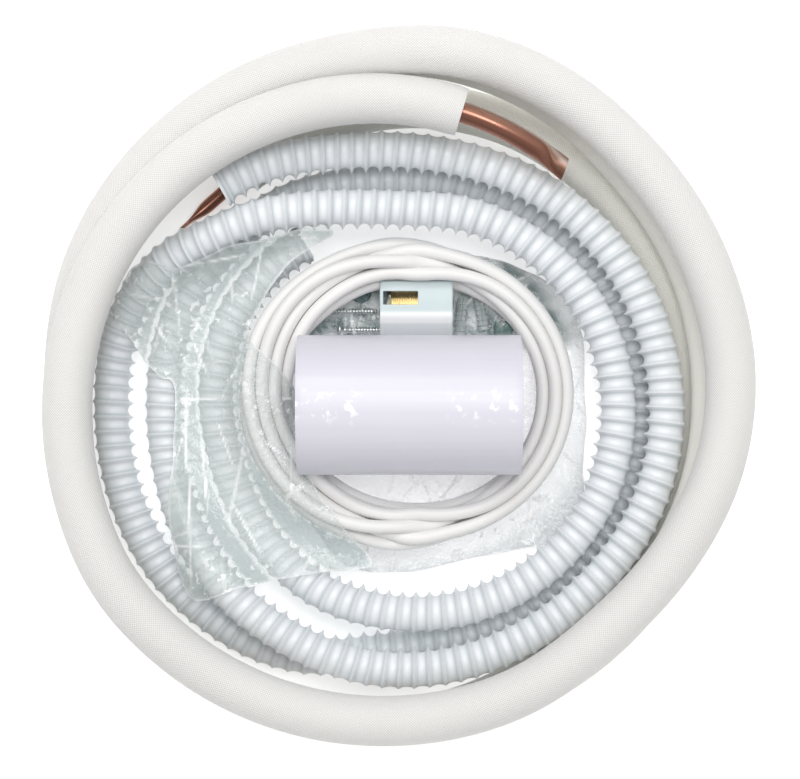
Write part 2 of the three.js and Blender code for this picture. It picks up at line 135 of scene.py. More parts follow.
class Signal:
    """One output socket of a finish, with arithmetic."""

    def __init__(self, finish, socket):
        self.finish, self.socket = finish, socket

    def _math(self, operation, first, second=None):
        sockets = {0: first} if second is None else {0: first, 1: second}
        return self.finish.node("ShaderNodeMath", {"operation": operation}, sockets)

    def __add__(self, other):
        return self._math("ADD", self, other)

    def __radd__(self, other):
        return self._math("ADD", other, self)

    def __sub__(self, other):
        return self._math("SUBTRACT", self, other)

    def __rsub__(self, other):
        return self._math("SUBTRACT", other, self)

    def __mul__(self, other):
        return self._math("MULTIPLY", self, other)

    def __pow__(self, other):
        return self._math("POWER", self, other)

    def sine(self):
        return self._math("SINE", self)

    def size(self):
        return self._math("ABSOLUTE", self)

    def clamped(self):
        return self.finish.node("ShaderNodeClamp", {}, {"Value": self})


class Finish:
    """One material with a Principled shader, and the nodes that feed it."""

    def __init__(self, name, **plain):
        self.material = bpy.data.materials.new(name)
        self.material.use_nodes = True
        self.tree = self.material.node_tree
        self.tree.nodes.clear()
        self.shader = self.tree.nodes.new("ShaderNodeBsdfPrincipled")
        output = self.tree.nodes.new("ShaderNodeOutputMaterial")
        self.tree.links.new(self.shader.outputs[0], output.inputs["Surface"])
        self.set(**plain)

    def feed(self, socket, value):
        if isinstance(value, Signal):
            self.tree.links.new(value.socket, socket)
        elif isinstance(value, (tuple, list)) and len(value) == 3 and socket.type == "RGBA":
            socket.default_value = (*value, 1)
        else:
            socket.default_value = value

    def node(self, kind, settings=None, sockets=None, out=0):
        made = self.tree.nodes.new(kind)
        for key, value in (settings or {}).items():
            if key == "stops":
                self.set_stops(made.color_ramp, value)
            else:
                setattr(made, key, value)
        for key, value in (sockets or {}).items():
            self.feed(made.inputs[key], value)
        return Signal(self, made.outputs[out])

    @staticmethod
    def set_stops(ramp, stops):
        while len(ramp.elements) < len(stops):
            ramp.elements.new(1)
        for element, (position, grey) in zip(ramp.elements, stops):
            element.position = position
            element.color = (grey, grey, grey, 1)

    def ramp(self, value, *stops):
        return self.node("ShaderNodeValToRGB", {"stops": stops}, {0: value})

    def mix(self, share, first, second):
        sockets = {0: share, 6: first, 7: second}
        return self.node("ShaderNodeMix", {"data_type": "RGBA"}, sockets, out=2)

    def place(self):
        return self.node("ShaderNodeTexCoord", out="Object")

    def stored(self, name):
        return self.node("ShaderNodeAttribute", {"attribute_name": name}, out="Fac")

    def uv(self, scale_u, scale_v):
        """The unrolled place on a tube, in metres times a scale, as two signals."""
        flat = self.node("ShaderNodeUVMap", {"uv_map": "along"})
        split = {0: flat}
        u = self.node("ShaderNodeSeparateXYZ", {}, split, out=0)
        v = self.node("ShaderNodeSeparateXYZ", {}, split, out=1)
        return u * scale_u, v * scale_v

    def noise(self, scale, detail=2.0, vector=None, roughness=0.5):
        sockets = {
            "Vector": vector or self.place(),
            "Scale": scale,
            "Detail": detail,
            "Roughness": roughness,
        }
        return self.node("ShaderNodeTexNoise", {}, sockets)

    def bump(self, height, distance, strength):
        sockets = {"Height": height, "Distance": distance, "Strength": strength}
        return self.node("ShaderNodeBump", {}, sockets)

    def set(self, **fed):
        for key, value in fed.items():
            socket = key.replace("_", " ").title().replace("Ior", "IOR")
            self.feed(self.shader.inputs[socket], value)
        return self.material


def cloudy(name, cloud, light, dark, relief, swing=0.0, grain=None, **plain):
    """A finish whose colour, roughness and relief follow a soft noise of a scale and a detail.

    Relief is a depth in metres and a strength. A grain gives the relief a finer noise of its own.
    """
    finish = Finish(name, **plain)
    clouds = finish.noise(*cloud)
    if swing:
        finish.set(roughness=plain["roughness"] + clouds * swing)
    bumps = finish.noise(*grain) if grain else clouds
    colour = finish.mix(clouds, light, dark)
    return finish.set(base_color=colour, normal=finish.bump(bumps, *relief))


# %% [markdown]
# ## Routes
# A tube is a section carried along a smooth line. The line runs through the stations, and its points
# are then spread evenly, so that ribs and embossing keep one pitch along the whole length.

# %% Smooth routes


def through(known, values, wanted):
    """A smooth curve through values at known places, read at the wanted places."""
    slopes = np.gradient(values, known)
    spot = np.clip(np.searchsorted(known, wanted) - 1, 0, len(known) - 2)
    step = known[spot + 1] - known[spot]
    t = (wanted - known[spot]) / step
    t2, t3 = t * t, t * t * t
    return (
        (2 * t3 - 3 * t2 + 1) * values[spot]
        + (t3 - 2 * t2 + t) * step * slopes[spot]
        + (3 * t2 - 2 * t3) * values[spot + 1]
        + (t3 - t2) * step * slopes[spot + 1]
    )


def level(height, *places):
    """Stations of one height, from pairs of angle and radius."""
    return [(angle, radius, height) for angle, radius in places]


def lengths_along(points):
    return np.concatenate([[0], np.cumsum(np.linalg.norm(np.diff(points, axis=0), axis=1))])


def spread(points, spacing):
    """The same line with evenly spread points, about one spacing apart."""
    along = lengths_along(points)
    wanted = np.linspace(0, along[-1], int(round(along[-1] / spacing)) + 1)
    return np.stack([np.interp(wanted, along, points[:, axis]) for axis in range(3)], axis=1)


def route_points(stations, spacing):
    """Evenly spread points in metres along stations of [angle, radius, height]."""
    angle, radius, height = np.array(stations, float).T
    way = np.sign(angle[-1] - angle[0])
    known = angle * way
    fine = np.linspace(known[0], known[-1], 4000)
    turn = np.radians(fine * way)
    r = through(known, radius, fine)
    z = through(known, height, fine)
    points = np.stack([np.cos(turn) * r, np.sin(turn) * r, z], axis=1) * MM
    return spread(points + np.array(COIL_CENTRE), spacing)


def with_tail(points, length, bend=0.0, drop=0.0):
    """The line with a bare end added, bent towards the coil's centre by bend degrees."""
    spacing = np.linalg.norm(points[-1] - points[-2])
    steps = int(round(length / spacing))
    along = points[-1] - points[-2]
    along[2] = 0
    along /= np.linalg.norm(along)
    to_centre = np.array(COIL_CENTRE) - points[-1]
    inwards = np.sign(along[0] * to_centre[1] - along[1] * to_centre[0])
    turn = inwards * math.radians(bend) / steps
    cos, sin = math.cos(turn), math.sin(turn)
    added, spot = [], points[-1]
    for i in range(1, steps + 1):
        along = np.array([along[0] * cos - along[1] * sin, along[0] * sin + along[1] * cos, 0])
        spot = spot + along * spacing
        spot[2] = points[-1][2] - drop * (i / steps) ** 2
        added.append(spot)
    return np.vstack([points, added])


# %% Meshes from rings of points


def frames_along(points):
    """Upright side and up directions, and the direction along, at each point of a line."""
    along = np.gradient(points, axis=0)
    along /= np.linalg.norm(along, axis=1, keepdims=True)
    side = np.cross([0, 0, 1], along)
    side /= np.linalg.norm(side, axis=1, keepdims=True)
    return side, np.cross(along, side), along


def ring_rows(points, radius, facets, wide=1.0, thin=1.0, turn=0.0, lean=0.0):
    """One ring of facets points per point of the line.

    Radius, and the shares of it that a flattened ring is wide and thin, may differ per point.
    """
    side, up, along = frames_along(points)
    radius, wide, thin = (
        np.broadcast_to(values, len(points))[:, None] for values in (radius, wide, thin)
    )
    angle = (np.arange(facets) + 0.5) / facets * 2 * np.pi - turn
    w = np.cos(angle)[None, :] * radius * wide
    t = np.sin(angle)[None, :] * radius * thin
    across = w * math.cos(turn) - t * math.sin(turn)
    upward = w * math.sin(turn) + t * math.cos(turn)
    return (
        points[:, None, :]
        + across[:, :, None] * side[:, None, :]
        + upward[:, :, None] * up[:, None, :]
        + lean * across[:, :, None] * along[:, None, :]
    )


def store(mesh, key, values):
    """Keeps one number for each point of a mesh, for a finish to read."""
    mesh.attributes.new(key, "FLOAT", "POINT").data.foreach_set("value", values)


def shell(name, rows, loop=True, stored=None, along=None, wrap=1.0, sharp=40):
    """A mesh skinned over rows of rings. A looped shell joins its last ring to its first.

    Along gives each ring of a looped shell its place on the unrolled surface, wrap its width there.
    """
    count, facets, _ = rows.shape
    grid = np.arange(count * facets).reshape(count, facets)
    below = grid if loop else grid[:-1]
    above = np.roll(grid, -1, axis=0) if loop else grid[1:]
    quads = np.stack(
        [below, np.roll(below, -1, axis=1), np.roll(above, -1, axis=1), above], axis=-1
    ).reshape(-1, 4)
    mesh = bpy.data.meshes.new(name)
    mesh.from_pydata(rows.reshape(-1, 3).tolist(), [], quads.tolist())
    if along is not None:
        u = np.repeat(along, facets)
        u_next = np.repeat(np.roll(along, -1), facets)
        v = np.tile(np.arange(facets), count) / facets * wrap
        v_next = v + wrap / facets
        place = np.stack([u, v, u, v_next, u_next, v_next, u_next, v], axis=1)
        layer = mesh.uv_layers.new(name="along")
        layer.data.foreach_set("uv", place.reshape(-1))
    for key, values in (stored or {}).items():
        store(mesh, key, np.broadcast_to(values, (count, facets)).reshape(-1))
    mesh.shade_smooth()
    mesh.set_sharp_from_angle(angle=math.radians(sharp))
    return linked(name, mesh)


def place_on_root(piece, material, slot, *nodes):
    """Gives a piece its finish and its body, and hides the CAD nodes that it stands for. Slot is not
    used.
    """
    piece.data.materials.append(material)
    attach(piece, "root")
    if nodes:
        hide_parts(*nodes)
    print(piece.name, len(piece.data.polygons), "faces")
    return piece


# %% [markdown]
# ## The two insulated copper lines
# Each line is a copper tube in a foam sleeve with an embossed skin. The thick one lies on top and its
# cut end shows in the photo, with the bare tube pinched flat. The sleeve's skin has a fine diamond
# emboss, far too fine to model, so it is a bump that follows the tube's own unrolled surface, with
# painted shade in its grooves.

# %% Routes of the lines
GAS_LOW, GAS_TOP = 31.285, 53.585
LIQUID_FLOOR, LIQUID_HIGH = 9.985, 30.285
gas_route = [
    *level(GAS_TOP, (76.8, 123.5), (95, 126.8), (110, 129.6), (135, 135.3), (160, 141),
        (180, 145), (198, 148.5), (215, 151.6), (230, 151.1), (250, 149.4), (270, 147.2),
        (290, 145), (312, 141), (330, 142.8), (345, 145.4), (360, 146.3), (380, 145.4),
        (405, 145.4), (430, 148.5)),
    (441, 148.8, GAS_TOP - 0.6), (450, 148, 48.4), (460, 147.4, 42.4), (472, 148, 38.6),
    (495, 149, 34.2),
    *level(GAS_LOW, (520, 149.2), (540, 147.8), (558, 151.4), (575, 154.6), (590, 154.1),
        (600, 153.2)),
]
liquid_route = [
    *level(LIQUID_FLOOR, (486, 119.5), (470, 123.2), (450, 127.3), (430, 129.5), (405, 130),
        (380, 130.5), (360, 131.4), (345, 133.7), (330, 136.4), (310, 140.5), (290, 146.9),
        (270, 152.8), (250, 155.1), (230, 156.9), (215, 157.4), (198, 154.2), (180, 150.5),
        (160, 151.5)),
    (135, 151.4, 11.4), (110, 150.8, 17.6), (90, 150, 24.4), (75, 147.9, 28.6),
    *level(LIQUID_HIGH - 0.6, (60, 145), (45, 141.8), (20, 141.2), (0, 141.6)),
    (-20, 143.6, LIQUID_HIGH), (-40, 144.8, LIQUID_HIGH + 0.4),
    *level(LIQUID_HIGH + 0.6, (-60, 147), (-75, 148.4), (-87, 148.6)),
]

# %% Sleeve skin
DIAMOND = 1.2 * MM


def sleeve_skin(name, light, shade):
    skin = Finish(name, roughness=0.6, specular_ior_level=0.35)
    u, v = skin.uv(math.pi / DIAMOND, math.pi / DIAMOND)
    weave = ((u + v).sine() * (u - v).sine()).size()
    patches = skin.noise(14, 3)
    fine = skin.noise(900, 2)
    # Painted shade: the emboss's grooves darken towards the shade colour, and soft patches vary the
    # tone.
    grooves = ((1 - weave) ** 1.5) * 0.8 + patches * 0.2
    colour = skin.mix(grooves.clamped(), light, shade)
    height = weave * 0.85 + fine * 0.15
    return skin.set(base_color=colour, normal=skin.bump(height, 0.0003, 0.9))


gas_skin = sleeve_skin("gas_sleeve_skin", (1.0, 0.99, 0.97), (0.68, 0.67, 0.65))
liquid_skin = sleeve_skin("liquid_sleeve_skin", (1.0, 0.985, 0.93), (0.80, 0.785, 0.72))

# %% Sleeves
GAS_SLEEVE, LIQUID_SLEEVE = 22, 20
GAS_TUBE, LIQUID_TUBE = 9.52, 6.35
SLACK = 1.0
SLEEVE_STEP = 4 * MM
SLEEVE_FACETS = 36


def foam_sleeve(name, points, outside, bore, material, slot, node):
    """A hollow sleeve with softly rounded cut ends."""
    along = lengths_along(points)
    from_end = np.minimum(along, along[-1] - along) / MM
    rounding = 1 - 0.035 * np.clip(1 - from_end / 1.2, 0, 1) ** 2
    wobble = np.array([noise.noise(Vector(p) * 28) for p in points]) * 0.006
    outer = ring_rows(points, outside / 2 * MM * (rounding + wobble), SLEEVE_FACETS)
    inner = ring_rows(points, bore / 2 * MM, SLEEVE_FACETS)[::-1]
    rows = np.vstack([outer, inner])
    places = np.concatenate([along, along[::-1]])
    piece = shell(name, rows, along=places, wrap=math.pi * outside * MM)
    return place_on_root(piece, material, slot, node)


gas_points = route_points(gas_route, SLEEVE_STEP)
liquid_points = route_points(liquid_route, SLEEVE_STEP)
foam_sleeve(
    "gas_sleeve", gas_points, GAS_SLEEVE, GAS_TUBE + SLACK, gas_skin, "gas_sleeve_foam",
    "gas_line_foam_sleeve",
)
foam_sleeve(
    "liquid_sleeve", liquid_points, LIQUID_SLEEVE, LIQUID_TUBE + SLACK, liquid_skin,
    "liquid_sleeve_foam", "liquid_line_foam_sleeve",
)

# %% [markdown]
# Bare copper is drawn tube: bright, with faint lines along its length and darker, browner patches
# where it has been handled. It mirrors a dark room on both sides of one bright window, which this
# white dome lacks, so its colour carries that band as a painted reflection: a dark band and a bright
# painted highlight stripe along the tube. The tip is pinched almost flat.

# %% Copper tubes


def drawn_copper():
    metal = Finish("drawn_copper", metallic=1.0)
    u, v = metal.uv(30, 2600)
    lines = metal.noise(1, 2, metal.node("ShaderNodeCombineXYZ", {}, {0: u, 1: v}))
    patches = metal.ramp(metal.noise(60, 4), (0.38, 0), (0.68, 1))
    _, round_tube = metal.uv(1, 420)
    # Painted reflection: a dark band and a bright highlight stripe follow the angle round the tube.
    wave = (round_tube - 3.7).sine()
    drawn = metal.mix(patches * 0.5, (0.68, 0.37, 0.27), (0.38, 0.18, 0.12))
    painted_dark_reflection = metal.mix((1 - wave) * 0.42, drawn, (0.16, 0.065, 0.045))
    colour = metal.mix(((wave + 1) * 0.5) ** 9 * 0.85, painted_dark_reflection, (0.99, 0.84, 0.78))
    rough = 0.16 + lines * 0.12 + patches * 0.1
    return metal.set(base_color=colour, roughness=rough, normal=metal.bump(lines, 0.00004, 0.5))


copper = drawn_copper()
PINCH = 16.0
SEAM = 0.5


def copper_tube(name, sleeve_points, diameter, wall, start, end, node):
    """A tube through the whole sleeve, with bare tails whose tips are pinched flat."""
    fine = spread(sleeve_points, 2 * MM)
    line = with_tail(fine, end["length"] * MM, end["bend"], end["drop"] * MM)
    line = with_tail(line[::-1], start["length"] * MM, start["bend"], start["drop"] * MM)[::-1]
    along = lengths_along(line) / MM
    from_start = 1 - np.clip(along / PINCH, 0, 1)
    from_end = 1 - np.clip((along[-1] - along) / PINCH, 0, 1)
    t = np.clip(np.maximum(from_start, from_end) / 0.8, 0, 1)
    share = t * t * (3 - 2 * t)
    flat = 2 * wall + SEAM
    wide = 1 + share * (((math.pi / 2) * (diameter - flat) + flat) / diameter - 1)
    bore = diameter - 2 * wall
    turn = math.radians(start["turn"])
    outer, inner = (
        ring_rows(line, size / 2 * MM, 24, wide, 1 + share * (thin / size - 1), turn)
        for size, thin in ((diameter, flat), (bore, SEAM))
    )
    places = np.concatenate([along, along[::-1]]) * MM
    piece = shell(
        name, np.vstack([outer, inner[::-1]]), along=places, wrap=math.pi * diameter * MM
    )
    return place_on_root(piece, copper, "copper", node)


copper_tube(
    "gas_copper", gas_points, GAS_TUBE, 0.8,
    {"length": 52, "bend": 21, "drop": 10, "turn": 40},
    {"length": 24, "bend": 12, "drop": 0},
    "gas_line_copper_tube",
)
copper_tube(
    "liquid_copper", liquid_points, LIQUID_TUBE, 0.7,
    {"length": 38, "bend": 0, "drop": 0, "turn": 90},
    {"length": 24, "bend": 6, "drop": 0},
    "liquid_line_copper_tube",
)

# %% [markdown]
# ## The drain hose
# The hose is thin corrugated plastic: narrow crests 6.6 mm apart with broad lands between them. The
# ribs are modelled, because they make its toothed outline. They lean a little, as ribs wound in a
# spiral do, and are deeper on the inside of the bend, where the hose is pressed together. One stored
# value is highest beside the crests and in the bore, and paints shade into the grooves there. Another
# paints shade on turns that lie under other turns.

# %% Route of the hose
HOSE_FLOOR = 9.72
hose_route = [
    (132, 119, 30.8), (123, 115.9, 30.4), (113, 111.4, 29.4), (102, 107.1, 28.4),
    *level(28.2, (90, 105.1), (71, 105.4), (55, 108.1), (39, 111.1), (24, 114.3), (9, 117.3),
        (-6, 120.5), (-20, 122.8), (-34, 124), (-47, 124.4), (-61, 125.6), (-74, 126.6)),
    (-85, 126.8, 28.4), (-94, 126.4, 28.8), (-104, 124.5, 29.4), (-116, 121.8, 28.8),
    (-130, 119, 26), (-144, 115, 19), (-160, 109.8, 11.5),
    *level(HOSE_FLOOR, (-177, 106.3), (-192, 105), (-206, 103), (-222, 99.8), (-237, 97.8),
        (-251, 94.8), (-268, 93.2), (-285, 95.1), (-306, 98.6), (-322, 101.8), (-337, 105.2),
        (-352, 108.4), (-366, 110.8), (-380, 113), (-393, 115), (-407, 116.4), (-420, 117.4),
        (-434, 117.4), (-447, 118), (-458, 122.6), (-468, 129), (-478, 132.7), (-488, 134),
        (-503, 135.1), (-514, 134), (-525, 132.1), (-537, 130), (-547, 129)),
    (-555, 127, 12.5), (-562, 123, 18), (-570, 116.4, 24.6), (-579, 106.9, 29.2),
    (-591, 97.2, 30), (-602, 89, 29.2), (-615, 82.4, 27.4), (-631, 79.2, 26),
    *level(25.6, (-652, 82.4), (-668, 85.7), (-684, 89.2), (-699, 92.9), (-713, 96.2),
        (-727, 99.2), (-740, 101.5), (-753, 103.3), (-766, 104.1), (-779, 104.3),
        (-792, 103.5)),
    (-805, 102.1, 25), (-817, 100.5, 23), (-828, 99, 19.5), (-839, 96.2, 14.5),
    (-852, 92, 10.6),
    *level(HOSE_FLOOR, (-867, 87.1), (-881, 83.8), (-896, 82.4), (-910, 81.6), (-925, 80.6),
        (-940, 79), (-957, 77.2)),
]

# %% Hose plastic


def hose_plastic():
    plastic = Finish("hose_plastic", specular_ior_level=0.5)
    valley = plastic.stored("valley")
    cloud = plastic.noise(45, 3)
    # Painted shade: the grooves beside the crests and the bore darken by the stored groove shade, and
    # turns that lie under others by the stored covered value.
    shade = valley * 0.6 + cloud * 0.25
    open_colour = plastic.mix(shade.clamped(), (0.86, 0.88, 0.90), (0.46, 0.52, 0.54))
    colour = plastic.mix(plastic.stored("covered") * 0.15, open_colour, (0.40, 0.45, 0.46))
    rough = 0.3 + cloud * 0.12
    grain = plastic.noise(1400, 2)
    return plastic.set(base_color=colour, roughness=rough, normal=plastic.bump(grain, 0.00002, 0.4))


# %% The corrugated hose
RIB_PITCH = 6.6
RIB_PHASE = np.array([0, 0.08, 0.18, 0.33, 0.5, 0.68, 0.82, 0.92])
RIB_DEPTH = np.array([0, 0.42, 0.9, 1.15, 1.25, 1.12, 0.85, 0.38]) * 1.6
RIB_SHADE = np.array([0, 0.3, 1, 0.35, 0, 0.1, 0.5, 0.1])
HOSE_RADIUS, HOSE_BORE_RADIUS = 9.5, 6.6
HOSE_FACETS = 22
HOSE_ENDS = 5


def covered_share(points):
    """How far each point of the hose lies under another turn, from 0 to 1."""
    away = np.linalg.norm(points[:, None, :2] - points[None, ::4, :2], axis=2)
    higher = points[None, ::4, 2] > points[:, None, 2] + 8 * MM
    nearest = np.where(higher, away, 1).min(axis=1) / MM
    return np.clip((20 - nearest) / 7, 0, 1)


def corrugated_hose():
    fine = route_points(hose_route, 0.5 * MM)
    along = lengths_along(fine) / MM
    ribs = int((along[-1] - HOSE_ENDS) / RIB_PITCH)
    pitch = (along[-1] - HOSE_ENDS) / ribs
    body = (np.arange(ribs)[:, None] + RIB_PHASE[None, :]).reshape(-1) * pitch + HOSE_ENDS / 2
    spots = np.concatenate([[0, 0.9, 1.5], body, along[-1] - np.array([2.4, 1.2, 0])])
    depth = np.concatenate([[0.6, 0.4, 0.9], np.tile(RIB_DEPTH, ribs), [0.2, 0.8, 0.6]])
    valley = np.concatenate([[0, 0, 1], np.tile(RIB_SHADE, ribs), [0, 1, 0]])
    points = np.stack([np.interp(spots, along, fine[:, k]) for k in range(3)], axis=1)
    outer = ring_rows(points, HOSE_RADIUS * MM, HOSE_FACETS, lean=0.055)
    to_centre = np.array(COIL_CENTRE) - points
    to_centre[:, 2] = 0
    to_centre /= np.linalg.norm(to_centre, axis=1, keepdims=True)
    spokes = outer - points[:, None, :]
    inward = (spokes * to_centre[:, None, :]).sum(axis=2) / (HOSE_RADIUS * MM)
    outer -= spokes * (depth[:, None] * (1 + 0.45 * inward) / HOSE_RADIUS)[:, :, None]
    bore_line = np.vstack([points[:1], points[6:-6:6], points[-1:]])
    inner = ring_rows(bore_line, HOSE_BORE_RADIUS * MM, HOSE_FACETS)[::-1]
    # Painted shade: full in the bore, beside the crests by RIB_SHADE, and on turns that lie under
    # others by the covered share.
    shade = np.concatenate([valley, np.ones(len(bore_line))])[:, None]
    covered = np.concatenate([covered_share(points), np.zeros(len(bore_line))])[:, None]
    stored = {"valley": shade, "covered": covered}
    piece = shell("drain_hose_ribbed", np.vstack([outer, inner]), stored=stored, sharp=75)
    return piece, points, along[-1] * MM


hose, hose_points, hose_length = corrugated_hose()
place_on_root(hose, hose_plastic(), "hose_plastic", "drain_hose")
print("hose length", round(hose_length, 3), "m")

# %% [markdown]
# ## The white cable
# The cable is about 2.8 m long and lies in seven turns. Its turns start as a plan: a close bundle at
# the right, a flat fan at the left where they rest on the hose. Real turns push each other aside, so
# the plan is then relaxed: points that are too close move apart until every turn lies on the others.

# %% Relax the turns
CABLE = 6.1
CABLE_CENTRE = (3.5, -3.6)
CABLE_OUTER = 79.5
CABLE_OVAL = 0.92
TURNS = 7
PER_TURN = 72
RIGHT_SLOTS = [
    (10.6, 7.2), (5.3, 4.2), (0, 7.2), (5.3, 10.3), (10.6, 13.3), (0, 13.3), (5.3, 16.4),
]
LEFT_SLOTS = [
    (20.4, 17), (13.8, 18.8), (7.0, 20.6), (0.3, 22.4), (3.6, 27.4), (10.4, 25.6), (17, 23.8),
]


def planned_turns():
    count = TURNS * PER_TURN
    turn_at = np.arange(count + 1) / PER_TURN
    angle = np.pi + 0.06 + turn_at * 2 * np.pi
    index = np.minimum(turn_at.astype(int), TURNS - 1)
    into = turn_at - index
    blend = np.clip((into - 0.86) / 0.14, 0, 1)
    blend = blend * blend * (3 - 2 * blend)
    following = np.minimum(index + 1, TURNS - 1)
    slots = []
    for table in (RIGHT_SLOTS, LEFT_SLOTS):
        table = np.array(table)
        slots.append(table[index] * (1 - blend[:, None]) + table[following] * blend[:, None])
    left = (0.5 - 0.5 * np.cos(angle))[:, None]
    inward, height = (slots[0] * (1 - left) + slots[1] * left).T
    radius = CABLE_OUTER - CABLE / 2 - inward
    x = CABLE_CENTRE[0] + np.cos(angle) * radius
    y = CABLE_CENTRE[1] + np.sin(angle) * radius * CABLE_OVAL
    return np.stack([x, y, height], axis=1)


CLEARANCE = 0.12
PUSHES_ONLY = 12


def relaxed(points, rounds):
    """Pushes turns apart until they are a diameter from each other, and keeps the line smooth.

    The last rounds only push, so that smoothing leaves no turns too close.
    """
    spots = points.copy()
    order = np.arange(len(spots))
    far = np.abs(order[:, None] - order[None, :]) > PER_TURN // 3
    low = FILM_TOP + CABLE / 2
    for step in range(rounds):
        away = spots[:, None, :] - spots[None, :, :]
        distance = np.linalg.norm(away, axis=2) + 1e-9
        lacking = np.where(far, np.clip(CABLE + CLEARANCE - distance, 0, None), 0)
        push = (away / distance[:, :, None] * lacking[:, :, None]).sum(axis=1)
        strongest = lacking.max(axis=1, keepdims=True)
        size = np.linalg.norm(push, axis=1, keepdims=True) + 1e-9
        spots += push / size * np.minimum(size, strongest) * 0.5
        if step < rounds - PUSHES_ONLY:
            spots[1:-1] += 0.18 * (spots[:-2] + spots[2:] - 2 * spots[1:-1])
            spots += 0.03 * (points - spots)
        spots[:, 2] = np.maximum(spots[:, 2], low)
    return spots, distance[far].min()


turns, closest = relaxed(planned_turns(), 160)
print("nearest two turns", round(closest, 2), "mm apart")

# %% The cable


def capped(rows, points):
    """Adds small rings that close both ends of a solid round tube with a domed cut."""
    first = [points[0] + (rows[0] - points[0]) * k for k in (0.04, 0.55, 0.93)]
    last = [points[-1] + (rows[-1] - points[-1]) * k for k in (0.93, 0.55, 0.04)]
    return np.vstack([first, rows, last])


cable_line = turns * MM + np.array(COIL_CENTRE)
known = np.arange(len(cable_line))
wanted = np.linspace(0, known[-1], 1200)
cable_fine = np.stack([through(known, cable_line[:, k], wanted) for k in range(3)], axis=1)
cable_rows = capped(ring_rows(cable_fine, CABLE / 2 * MM, 16), cable_fine)
cable = shell("white_cable", cable_rows, False)
jacket = cloudy(
    "cable_jacket", (30, 3), (0.85, 0.845, 0.835), (0.78, 0.77, 0.755), (0.00003, 0.5), 0.14,
    grain=(700, 3), roughness=0.36, specular_ior_level=0.45,
)
place_on_root(cable, jacket, "cable_jacket", "cable_coil")

# %% [markdown]
# ## The roll of wrapping tape
# A wound roll is a thick tube whose ends show fine rings, one for each layer, that never line up
# perfectly. It is turned like wood on a lathe: a profile of [place along the axis, radius] swept
# round. The last layer stops in a thin straight step, so two of the sweep's angles almost meet there.

# %% Turned pieces


def turned_rows(places, radii, centre, axis, across, angles):
    """Rings round an axis, in millimetres. Radii holds one for each place, or one for each point."""
    axis, across = np.array(axis, float), np.array(across, float)
    spokes = np.cos(angles)[:, None] * across + np.sin(angles)[:, None] * np.cross(axis, across)
    line = np.array(centre) + np.outer(places, axis) * MM
    return line[:, None, :] + np.reshape(radii, (len(places), -1, 1)) * MM * spokes


def evenly(facets):
    return np.arange(facets) / facets * 2 * np.pi


def middle_of(node):
    low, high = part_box(node)
    return (Vector(low) + Vector(high)) / 2, Vector(high) - Vector(low)


# %% The tape
def tape_vinyl():
    vinyl = Finish("tape_vinyl", specular_ior_level=0.6, coat_weight=0.15, coat_roughness=0.3)
    place = vinyl.place()
    around = vinyl.noise(40, 2)
    drawn_out = vinyl.node(
        "ShaderNodeVectorMath", {"operation": "MULTIPLY"}, {0: place, 1: (6, 420, 420)}
    )
    lengthways = vinyl.noise(1.0, 2.0, drawn_out)
    layers = vinyl.stored("layer")
    shade = lengthways * 0.3 + around * 0.25 + layers * 0.35
    wound = vinyl.mix(shade.clamped(), (0.75, 0.735, 0.81), (0.61, 0.60, 0.67))
    x, y = (vinyl.node("ShaderNodeSeparateXYZ", {}, {0: place}, out=axis) for axis in (0, 1))
    # Painted glints: white specks near the highlight band and at both ends stand in for the glints of
    # film lying over the tape.
    near_stripe = (1 - (y + 0.008).size() * 110).clamped()
    near_ends = (((x - 0.0066).size() - 0.015) * 90).clamped()
    painted_glints = vinyl.ramp(vinyl.noise(190, 4), (0.55, 0), (0.62, 1))
    colour = vinyl.mix(painted_glints * near_stripe * near_ends, wound, (0.99, 0.99, 1.0))
    normal = vinyl.bump(lengthways * 0.5 + around, 0.00012, 0.35)
    return vinyl.set(base_color=colour, roughness=0.36 + lengthways * 0.1, normal=normal)


tape_middle, tape_size = middle_of("wrapping_tape_roll")
half, outer = tape_size.x / 2 / MM, tape_size.z / 2 / MM
HOLE = 12.5
LAYERS = 38
BARREL_RINGS = 30
TAPE_END = 0.35
TAPE_FACETS = 95
rng = np.random.default_rng(7)
wound = np.linspace(HOLE + 0.3, outer - 0.5, LAYERS)
ragged = rng.normal(0, 0.09, LAYERS)
groove = np.where(np.arange(LAYERS) % 2 == 0, 0.0, 0.16)
left_face = [(-half + 0.25 + g + r, w) for w, g, r in zip(wound, groove, ragged)]
right_face = [(half - 0.25 - g - r, w) for w, g, r in zip(wound[::-1], groove, ragged)]
barrel = [(x, outer) for x in np.linspace(-half + 0.5, half - 0.5, BARREL_RINGS)]
profile = [(-half + 0.6, HOLE)] + left_face + [(-half + 0.15, outer - 0.15)] + barrel
profile += [(half - 0.15, outer - 0.15)] + right_face + [(half - 0.6, HOLE)]
profile += [(x, HOLE) for x in (half / 3, -half / 3)]
angles = math.radians(215) + np.linspace(0, 2 * np.pi - 0.006, TAPE_FACETS)
rows = turned_rows(*zip(*profile), tape_middle, (1, 0, 0), (0, 1, 0), angles)
spokes = rows - np.array(tape_middle)
spokes[:, :, 0] = 0
rows -= spokes * (np.linspace(0, 1, TAPE_FACETS) * TAPE_END / outer)[None, :, None]
layer = np.zeros((len(profile), 1))
right_at = LAYERS + BARREL_RINGS + 3
faces_at = np.r_[1 : LAYERS + 1, right_at : right_at + LAYERS]
layer[faces_at, 0] = np.tile(np.arange(LAYERS) % 2, 2) * 0.8 + 0.1
tape = shell("tape_roll", rows, stored={"layer": layer}, sharp=35)
place_on_root(tape, tape_vinyl(), "tape_vinyl", "wrapping_tape_roll")

# %% [markdown]
# ## Small fittings in the bag
# The nut is hexagonal at both ends with a ridged band between. The screws have a real helical thread,
# and the wall plugs have barbs. Each is a turned piece whose radius also depends on the angle.


